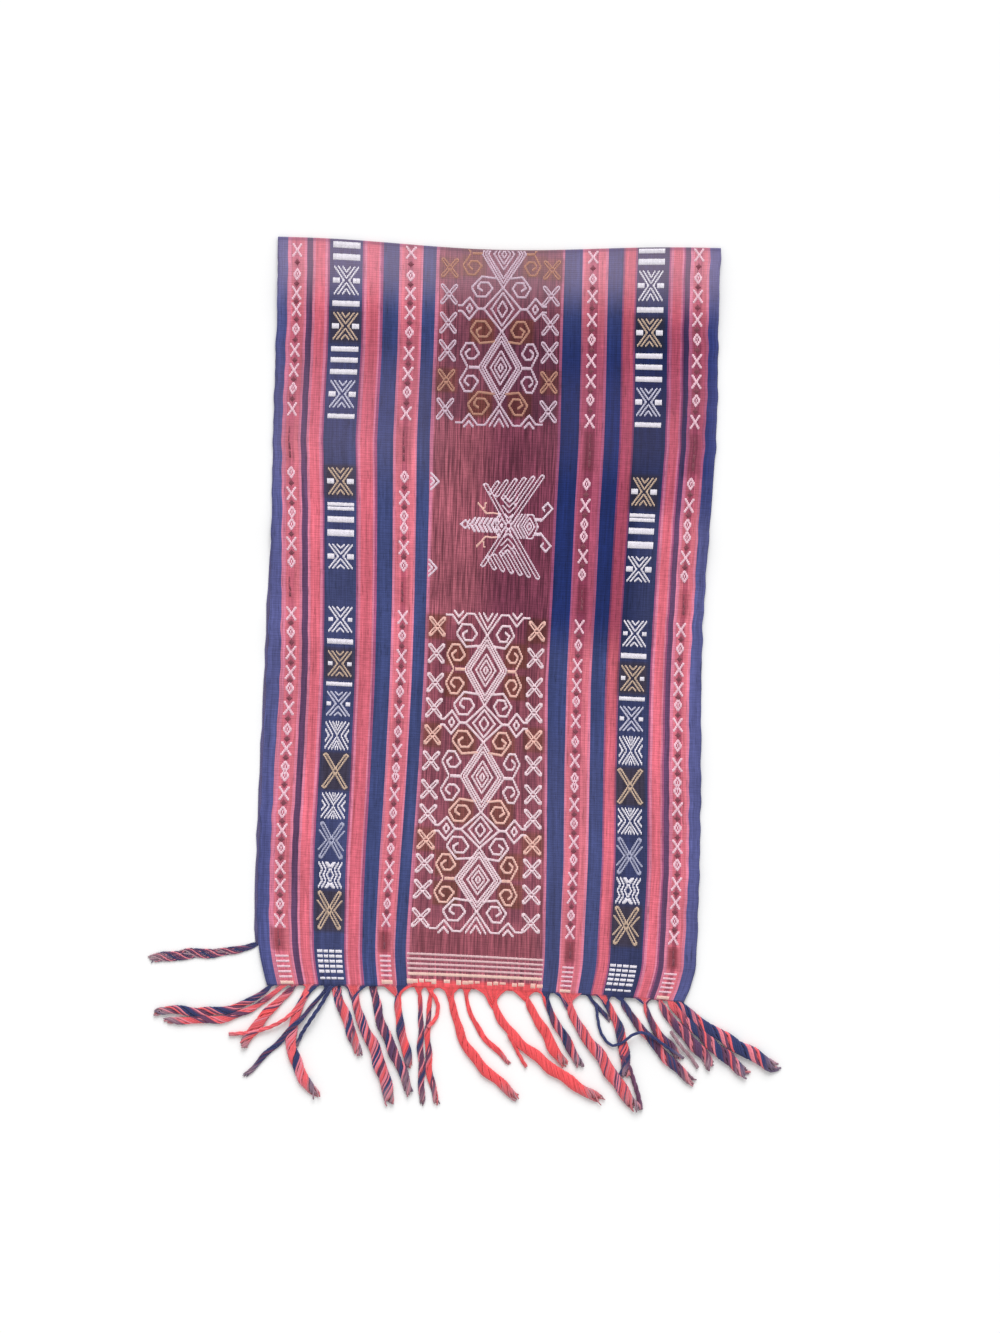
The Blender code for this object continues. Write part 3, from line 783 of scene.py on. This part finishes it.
def drawBird(piece):
    pen = newPen(piece, "lilacWhite", bird["u"], bird["v"])
    drawWings(pen)
    for low, high in ((-10.5, -6), (6, 10.5)):
        block(pen, 31.0, 37.0, low, high)
    strokeTwice(pen, ((36.5, 6.5), (48.8, 21), (43.5, 27.5), (38, 21.5), (40.5, 18)), 1.8, upDown)
    leg = dict(pen, yarn="peach")
    strokeTwice(leg, ((-12.5, 13.2), (-18.5, 14), (-25.5, 13), (-30.7, 19.5), (-35.7, 25)), 1.5, upDown)
    strokeTwice(leg, ((-28, 19), (-26.6, 25)), 1.5, upDown)
    for k in range(bird["bodyChevrons"]):
        chevron(pen, 3.0 + k * 3.7, 8.3, 13.5, 1.0)
    stroke(pen, ((21, -13.5), (27.5, -13.5), (33.5, 0), (27.5, 13.5), (21, 13.5)), 1.2)
    for u, halfU, halfV, depth in ((23.6, 6.2, 9.8, 1.0), (23.6, 2.6, 4.4, 1.4), (-7.6, 5.2, 8.0, 1.2),
                                   (-7.6, 1.4, 2.2, 1.4), (-49.0, 5.0, 4.6, 1.6)):
        diamond(pen, u, 0, halfU, halfV, depth)
    for u in (-12.6, -14.6):
        stroke(pen, ((u + 4, -13), (u, -6.5), (u + 1, 0), (u, 6.5), (u + 4, 13)), 1.6)
    for k in range(bird["tailChevrons"]):
        for wide in (0, 1.4):
            chevron(pen, wide - 19.6 - k * 4.7, 4.4, 8.0, 1.2)
    chevron(pen, -47.2, 3.2, 5.4, 1.6)
    for v in (273, 371.5):
        for wide in (9, 4):
            chevron(dict(pen, u=-70.5, v=v), wide, -wide, wide * 1.05, 1.9)


drawNavyBand("left_pattern_yarns", -170.0, 0.0)
drawNavyBand("right_pattern_yarns", 171.2, 3.2)
for pinkBand in pinkBands:
    drawPinkBand(*pinkBand)
drawPanel("middle_pattern_yarns")
drawHemRows("middle_pattern_yarns")
drawBird("middle_pattern_yarns")
print("the motifs are counted out")


def softBox(u, v, box):
    lowU, highU, lowV, highV, softU, softV, strength = box
    across = ease((u - lowU) / softU + 0.5) * ease((highU - u) / softU + 0.5)
    along = ease((v - lowV) / softV + 0.5) * ease((highV - v) / softV + 0.5)
    return strength * across * along


# Painted shade in red, green and blue and painted light in alpha: the strongest box of each at every point.
def fading(u, v):
    dark = np.max([softBox(u, v, box) for box in paintedShadeBoxes], axis=0)[:, None]
    pale = np.max([softBox(u, v, box) for box in paintedLightBoxes], axis=0)[:, None]
    return np.hstack((dark, dark, dark, pale))


patchEdge = {"inset": 2.5, "softness": 5.5}


def groundColours(u, v):
    colours = np.zeros((len(u), 4))
    for middleU, middleV, reachU, reachV, dye, strength in groundPatches:
        away = np.maximum(np.abs(u - middleU) - reachU, np.abs(v - middleV) - reachV)
        weight = strength * (1 - ease((away + patchEdge["inset"]) / patchEdge["softness"]))
        stronger = weight > colours[:, 3]
        colours[stronger] = toLinear(dye)
        colours[stronger, 3] = weight[stronger]
    return colours


clothPiece = makeCloth(clothMaterial())
print("the cloth is woven and folded")


# Twisted cotton yarn, soft and matte: in the tassels bundles of it make candy stripes of the colours at
# their roots, and on the cloth the pattern yarns stand a little proud and catch the light. The fibre winds
# once round a yarn in about 6 mm, drawn as coarse as the render can show.
yarnLook = {"wind": 0.006, "winding": 0.5, "fineness": (3.0, 160.0, 40.0), "bump": 0.4,
            "bumpDepth": 0.0004, "roughness": 0.9, "sheen": 0.2}


def yarnMaterial(name):
    look = yarnLook
    material, tree, surface = newMaterial(name)
    dye, lay = (addNode(tree, "Attribute", attribute_name=kind).outputs for kind in ("dye", "lay"))
    around, along = addNode(tree, "SeparateXYZ", {0: lay["Vector"]}).outputs[:2]
    noise = noiseOver(tree, lay["Vector"], look["fineness"], 3.0)
    shade = spread(tree, noise, 0.3, 0.7, 0.88, 1.14)
    coloured = addNode(tree, "VectorMath", {0: dye["Color"], 3: shade}, operation="SCALE")
    wound = combine(tree, "MULTIPLY_ADD", along, 1 / look["wind"], around)
    relief = combine(tree, "MULTIPLY_ADD", waveOver(tree, wound, 0.5), look["winding"], noise)
    finishCotton(tree, surface, coloured.outputs[0], relief, look)
    return material


# Tassels, one row each: the root's middle along the hem, its fan's width, the way it swings from straight
# down at its root, a third, two thirds and its end, its length and width. Then come its yarns, where they
# aren't those of the stripes above it, and where it is lifted over another and how far.
tasselNames = ("rootX", "fan", "swing0", "swing1", "swing2", "swing3", "length", "width", "dye", "liftAt",
               "lift")
tasselUsual = {"dye": "", "liftAt": 0, "lift": 0}
frontTassels = (
    (-244.0, 10, -46, -70, -94, -82, 146, 8, "cordNavy purple tasselCoral cordNavy"),
    (-231.5, 11, -46, -62, -89, -83, 148, 7, "tasselCoral candyPink purple tasselCoral"),
    (-217.0, 12, -46, -46, -38, -26, 96, 9, "tasselCoral hotCoral tasselCoral"),
    (-200.0, 22, -34, -16, 22, 38, 142, 10),
    (-179.0, 20, -40, -42, -45, -44, 144, 5, "", 58, 5),
    (-151.0, 30, -6, 25, 18, 13, 144, 11),
    (-103.0, 34, -6, 8, 12, 18, 96, 8),
    (-79.0, 13, 5, 0, 2, -2, 137, 6, "cordNavy tasselCoral purple"),
    (-65.0, 14, -8, -2, 6, 20, 136, 6, "hotCoral tasselCoral purple"),
    (-45.0, 25, 8, 20, 46, 48, 155, 9),
    (-25.5, 13, -4, 24, 42, 46, 104, 5),
    (2.0, 38, 6, 44, 54, 61, 188, 10),
    (39.0, 28, 18, 30, 29, 38, 100, 9),
    (62.0, 18, 12, 26, 32, 18, 97, 8, "tasselCoral purple cordNavy"),
    (88.0, 34, 6, 36, 32, 42, 158, 11),
    (110.5, 9, 36, 40, 44, 42, 42, 4),
    (129.0, 22, 24, 26, 6, 14, 98, 9),
    (147.5, 14, 26, 40, 42, 56, 132, 9, "cordNavy tasselCoral purple"),
    (174.5, 22, 10, 26, 42, 36, 84, 7),
    (191.5, 10, 22, 42, 42, 26, 102, 10, "purple rose dusk candyPink"),
    (202.5, 8, 36, 47, 48, 52, 126, 11, "cordNavy candyPink tasselCoral purple"),
    (212.0, 7, 40, 56, 60, 60, 142, 12, "cordNavy tasselCoral candyPink cordNavy"),
)
backTassels = (
    (-255.0, 7, -66, -84, -86, -74, 130, 9, "purple dusk dusty purple cordNavy"),
    (-176.0, 14, 2, 12, 22, 10, 131, 9, "tasselCoral rose cordNavy"),
    (-131.0, 14, 2, 10, 25, 16, 178, 9, "purple dusk cordNavy"),
)
hiddenRoots = (-222, -94, -58, -22, 14, 50, 86, 122, 158, 194)
# How the yarns of a tassel run: the web in which they gather, its neck and swelling, how much it sways and
# lumps and over what length, its twist, its frayed end, and where its colours mix and fade.
tasselShape = {
    "webReach": 22.0, "fanReach": 1.05, "gather": 3.8, "fuller": 1.26, "wider": 1.08, "neckShare": 0.6,
    "swellShare": 0.7, "endShare": 0.84, "sway": 0.9, "swayLength": 41, "lump": 0.06, "lumpLength": 27,
    "liftReach": 38.0, "drop": 18.0, "flatness": 0.52, "turn": 38.0, "fewest": 11, "yarnFan": 1.5,
    "frayFrom": 0.93, "fray": 0.5, "shortest": 0.09, "underHem": 2.3, "rootIn": 1.8, "mixFrom": 6,
    "mixOver": 30, "oldFrom": 0.84, "oldOver": 0.12, "lonePurple": 0.16, "lonePink": 0.14, "sides": 5,
    "steps": 44, "seed": 5,
}
# The yarn of the tassels under the stripes of each name.
fringeYarns = {
    "hotCoral": ("maroon", "panelEdge"), "purple": ("dusk", "plumEdge"), "candyPink": ("pinkEdge",),
    "cordNavy": ("selvedge", "navy", "slate", "ink"),
    "tasselCoral": ("rose", "duskRose", "brick", "coral", "softRose"),
}


def sweptMesh(name, sides, steps, count):
    bm = bmesh.new()
    bmesh.ops.create_cone(bm, cap_ends=True, segments=sides, radius1=1.0, radius2=1.0, depth=2.0)
    long = [edge for edge in bm.edges if abs(edge.verts[0].co.z - edge.verts[1].co.z) > 1]
    bmesh.ops.subdivide_edges(bm, edges=long, cuts=steps - 1, use_grid_fill=True)
    return copiesOf(name, bm, count)


def copiesOf(name, bm, count):
    single = bpy.data.meshes.new("single")
    bm.to_mesh(single)
    bm.clear()
    for _ in range(count):
        bm.from_mesh(single)
    mesh = meshFrom(name, bm)
    co = np.zeros(len(single.vertices) * 3)
    single.vertices.foreach_get("co", co)
    bpy.data.meshes.remove(single)
    return mesh, co.reshape(-1, 3)


def tasselRoute(tassel, s, startX, startY):
    swings = [tassel["swing" + str(i)] for i in range(4)]
    fine = np.linspace(0, tassel["length"], 400)
    swing = np.radians(readCurve((0.0, 1 / 3, 2 / 3, 1.0), swings, fine / tassel["length"]))
    step = np.diff(fine, prepend=0)
    x = startX + np.cumsum(step * np.sin(swing))
    y = startY - np.cumsum(step * np.cos(swing))
    return [np.interp(s, fine, values) for values in (x, y, swing)]


def stripeYarn(x, station):
    edges = [station[name] for name in stationNames[1:5]]
    u = float(np.interp(x, edges, (-lie["halfWidth"], -lie["panelHalfWidth"], lie["panelHalfWidth"],
                                   lie["halfWidth"])))
    above = [name for start, name in stripes if start <= max(u, -249)][-1]
    return [yarn for yarn, stripeNames in fringeYarns.items() if above in stripeNames][0]


def tasselYarns(tassel, hemV, shift, hemZ, draw):
    shape, fan, whole = tasselShape, tassel["fan"], tassel["length"]
    outer = {name: float(value) for name, value in stationAt(hemV + 0.2).items()}
    coverY = float(stationAt(lie["upperLength"])["leftY"]) - 14
    count = int(max(shape["fewest"], round(fan / shape["yarnFan"])))
    t = np.linspace(0, 1, shape["steps"] + 1)**1.15
    given = tassel["dye"].split()
    rootX = tassel["rootX"]
    full = tassel["width"] * shape["fuller"]
    phase = draw.uniform(0, 6.28)
    paths = []
    for k in range(count):
        share = (k + 0.5) / count
        length = whole * (1 - draw.uniform(0, shape["shortest"]))
        s = t * length
        x, y, swing = tasselRoute(tassel, s, rootX - shift, weftY(outer, rootX) + shape["rootIn"])
        sway = shape["sway"] * np.sin(s / shape["swayLength"] * fullTurn + phase * 3) * ease((s - 20) / 40)
        x, y = x + sway * np.cos(swing), y + sway * np.sin(swing)
        reach = np.clip(s / max(shape["webReach"], fan * shape["fanReach"]), 0, 1)
        gather = 1 - (1 - reach)**shape["gather"]
        neck = full * shape["neckShare"]
        body = neck + (full - neck) * ease(s / (shape["swellShare"] * whole))
        late = (s / whole - shape["swellShare"]) / (1 - shape["swellShare"])
        width = body * (1 - (1 - shape["endShare"]) * ease(late)) * shape["wider"]
        width = width * (1 + shape["lump"] * np.sin(s / shape["lumpLength"] * fullTurn + phase * 5))
        height = width * shape["flatness"]
        if hemZ < lie["hemZ"]:
            height = np.minimum(height, shape["underHem"] + 9 * ease((coverY - y) / 18))
        yarnRadius = 0.5 * np.sqrt(1.05 * width * height / count)
        webRadius = 0.56 * fan / count
        yarnRadius = np.minimum(webRadius + (yarnRadius - webRadius) * gather, height * 0.34)
        # Four yarns in five lie round the tassel, the fifth near its core.
        turn = phase + fullTurn * (share + s / shape["turn"])
        out = (0.35 if k % 5 == 4 else 1.0) * gather
        across = (width / 2 - yarnRadius) * np.cos(turn) * out
        up = (height / 2 - yarnRadius) * np.sin(turn) * out
        fray = ease((s / whole - shape["frayFrom"]) / (1 - shape["frayFrom"]))
        across = across * (1 + shape["fray"] * (share - 0.5) * fray)
        lift = tassel["lift"] * (1 - ease(np.abs(s - tassel["liftAt"]) / shape["liftReach"]))
        rest = np.maximum(height / 2 + up, yarnRadius) + 0.05
        z = hemZ + (rest + lift - hemZ) * ease(s / shape["drop"])
        hemX = fan * (share - 0.5)
        hemRise = weftY(outer, rootX + hemX) - weftY(outer, rootX)
        px = x + hemX * (1 - gather) + across * np.cos(swing)
        py = y + hemRise * (1 - gather) + across * np.sin(swing)
        radius = yarnRadius * (1 - 0.25 * ease((s / length - 0.97) / 0.03))
        above = stripeYarn(rootX + hemX, outer)
        yarn, other = given[int(share * len(given))] if given else above, draw.random()
        if yarn != "hotCoral" and not shape["lonePurple"] <= other <= 1 - shape["lonePink"]:
            yarn = "purple" if other < shape["lonePurple"] else "candyPink"
        mix = ease((s - shape["mixFrom"]) / shape["mixOver"])[:, None]
        old = draw.uniform(0.3, 0.85) * ease((s / length - shape["oldFrom"]) / shape["oldOver"])[:, None]
        tint = (dyeOf(above) * (1 - mix) + dyeOf(yarn) * mix) * (1 - old) + dyeOf("dusty") * old
        paths.append((np.stack((px, py, z), -1), radius, s, tint * draw.uniform(0.86, 1.1)))
    return paths


# Thin stray cords: their yarn, width and the points that they pass.
strayCords = (
    ("cordNavy", 3.4, ((121, -439, 3.6), (123, -457, 3), (127, -473, 2), (138, -486, 3), (150, -483, 7),
                       (160, -475, 9), (171, -471, 9.5), (183, -475, 9.5), (200, -487, 8), (220, -501, 2))),
    ("cordNavy", 4.4, ((-178, -419, 3.6), (-188, -437, 5), (-202, -458, 8), (-211, -472, 4),
                       (-218, -487, 2))),
    ("hotCoral", 4.0, ((22, -474, 5), (28, -485, 3), (34, -497, 2), (42, -511, 2))),
    ("purple", 5.0, ((149, -497, 5), (157, -508, 3), (162, -522, 2.5), (168, -541, 2.5), (172, -559, 2.5))),
    ("cordNavy", 4.0, ((156, -500, 5), (153, -510, 3), (147, -521, 2))),
    ("hotCoral", 4.4, ((-66, -424, 3.6), (-58, -440, 2.4), (-60, -455, 2.4), (-69, -466, 4))),
    ("tasselCoral", 4.4, ((-205, -425, 3.6), (-214, -440, 4), (-233, -458, 6), (-262, -470, 4),
                          (-294, -474, 2.4))),
    ("dusty", 4.0, ((205, -470, 6), (216, -486, 5), (228, -500, 3), (236, -512, 2.4))),
)


def directions(path):
    way = np.gradient(path, axis=0)
    return way / np.linalg.norm(way, axis=1)[:, None]


def strayPaths(draw):
    t = np.linspace(0, 1, tasselShape["steps"] + 1)
    paths = []
    for yarn, width, points in strayCords:
        points = np.array(points, float)
        steps = np.concatenate(((0,), np.cumsum(np.linalg.norm(np.diff(points, axis=0), axis=1))))
        s = t * steps[-1]
        line = np.stack([readCurve(steps, points[:, k], s) for k in range(3)], -1)
        way = directions(line)
        wide = width * 0.28
        for k in range(3):
            turn = fullTurn * (k / 3 + s / 30)
            side = np.stack((-way[:, 1] * np.cos(turn), way[:, 0] * np.cos(turn), np.sin(turn) * 0.8), -1)
            old = draw.uniform(0.2, 0.6) * ease((t - 0.85) / 0.15)[:, None]
            colour = dyeOf(yarn) * (1 - old) + dyeOf("dusty") * old
            paths.append((line + side * wide, np.full(len(t), wide), s, colour * draw.uniform(0.85, 1.1)))
    return paths


def makeYarns(name, material, paths, node):
    shape = tasselShape
    mesh, single = sweptMesh(name, shape["sides"], shape["steps"], len(paths))
    step = np.rint((single[:, 2] + 1) / 2 * shape["steps"]).astype(int)
    points, lays, dyes = [], [], []
    for k, (path, radius, s, tint) in enumerate(paths):
        way = directions(path)
        side = np.cross((0.0, 0.0, 1.0), way)
        side /= np.linalg.norm(side, axis=1)[:, None]
        over = np.cross(way, side)
        out = side[step] * single[:, :1] + over[step] * single[:, 1:2]
        points.append(path[step] + radius[step, None] * out)
        around = np.arctan2(single[:, 1], single[:, 0]) / fullTurn + 0.5
        lays.append(np.stack((around, s[step] * mm, np.full(len(step), k * 0.37)), -1))
        colour = tint[step]
        colour[:, 3] = 1.0
        dyes.append(colour)
    addAttribute(mesh, "lay", "FLOAT_VECTOR", np.concatenate(lays))
    addAttribute(mesh, "dye", "FLOAT_COLOR", np.concatenate(dyes))
    piece = fillMesh(name, mesh, np.concatenate(points), material)
    return dress(piece, node)


def allPaths(rows, hemV, shift, hemZ):
    draw = random.Random(tasselShape["seed"])
    paths = []
    for values in rows:
        paths += tasselYarns({**tasselUsual, **dict(zip(tasselNames, values))}, hemV, shift, hemZ, draw)
    return paths


def floatRows(name):
    size = floatSize
    draw = random.Random(size["seed"])
    rows = []
    for (piece, yarn, u), runs in sorted(floatRuns.items()):
        merged = []
        for low, high in sorted(runs):
            low, high = max(low, -1.0), min(high, lie["upperLength"] - 1)
            if merged and low <= merged[-1][1] + 0.3:
                merged[-1][1] = max(merged[-1][1], high)
            elif high - low > 0.6:
                merged.append([low, high])
        for low, high in merged if piece == name else ():
            parts = max(1, math.ceil((high - low) / size["longest"]))
            step = (high - low) / parts
            for k in range(parts):
                start = low + k * step + draw.uniform(-1, 1) * size["wander"]
                rows.append((u, start, low + (k + 1) * step - size["gap"], draw.uniform(0.96, 1.06), yarn))
    return rows


def makeFloats(name, material):
    size = floatSize
    rows = floatRows(name)
    bm = bmesh.new()
    bmesh.ops.create_uvsphere(bm, u_segments=4, v_segments=3, radius=1.0)
    mesh, single = copiesOf(name, bm, len(rows))
    ring = np.abs(single[:, 2]) < 0.9
    alongShare = np.where(ring, np.sign(single[:, 2]) * 0.78, single[:, 2])
    acrossShare = np.where(ring, single[:, 0] / 0.866, 0.0)
    upShare = np.where(ring, single[:, 1] / 0.866, 0.0)
    middle, start, end = (np.array([row[i] for row in rows])[:, None] for i in range(3))
    v = (start + end) / 2 + (end - start) / 2 * alongShare
    u = middle + size["width"] / 2 * acrossShare + 0 * v
    points = upperPoint(u, v)
    points[..., 2] += lie["thick"] / 2 + np.where(upShare > 0, size["rise"], size["sink"]) * upShare
    dyes = np.repeat(np.array([dyeOf(row[4]) * row[3] for row in rows])[:, None, :], len(single), 1)
    dyes[..., 3] = 1.0
    lays = np.stack((acrossShare + 0 * v, v * mm, middle + 0 * v), -1)
    addAttribute(mesh, "lay", "FLOAT_VECTOR", lays)
    addAttribute(mesh, "dye", "FLOAT_COLOR", dyes)
    return dress(fillMesh(name, mesh, points, material), None)


floatMaterial = yarnMaterial("floated_cotton_pattern_yarn")
floatPieces = [makeFloats(name, floatMaterial)
               for name in ("left_pattern_yarns", "right_pattern_yarns", "middle_pattern_yarns")]
print("the pattern yarns are laid:", [len(piece.data.polygons) for piece in floatPieces])
tasselMaterial = yarnMaterial("twisted_cotton_tassel_yarn")
frontPiece = makeYarns("front_tassels", tasselMaterial,
                       allPaths(frontTassels, lie["upperLength"], 0.0, lie["hemZ"])
                       + strayPaths(random.Random(tasselShape["seed"])), "fringe_front")
hiddenRows = tuple((x, 14, 0, 3, 6, 8, 30, 8) for x in hiddenRoots)
backPiece = makeYarns("back_tassels", tasselMaterial,
                      allPaths(backTassels + hiddenRows, lie["lowerLength"], lie["peek"], lie["lowerZ"]),
                      "fringe_back")
print("the tassels are twisted")

# Floor and light: a pale matte floor, one broad soft light from beyond the fold and an even sky.
studio = {"floor": "#f7f7f7", "floorSize": 4.0, "floorDrop": 0.0003, "keyStrength": 2.05,
          "keyAngle": 38.0, "keyPlace": (0.3, 2.3, 1.9), "sky": 0.68}
floor = place("floor", gridMesh("floor", 1, 1, studio["floorSize"] / 2))
floor.data.transform(Matrix.Translation((0, 0, -studio["floorDrop"])))
floorMaterial, tree, surface = newMaterial("matte_paper_floor")
surface.inputs["Base Color"].default_value = toLinear(studio["floor"])
surface.inputs["Roughness"].default_value = 0.95
floor.data.materials.append(floorMaterial)

keyData = bpy.data.lights.new("key", "SUN")
keyData.energy = studio["keyStrength"]
keyData.angle = math.radians(studio["keyAngle"])
key = place("key", keyData)
key.location = studio["keyPlace"]
key.rotation_euler = (-key.location).to_track_quat("-Z", "Y").to_euler()
world = bpy.data.worlds.new("studio_sky")
world.use_nodes = True
sky = world.node_tree.nodes["Background"].inputs
sky["Color"].default_value = (1.0, 1.0, 1.0, 1.0)
sky["Strength"].default_value = studio["sky"]
scene.world = world
print("floor and light are set")
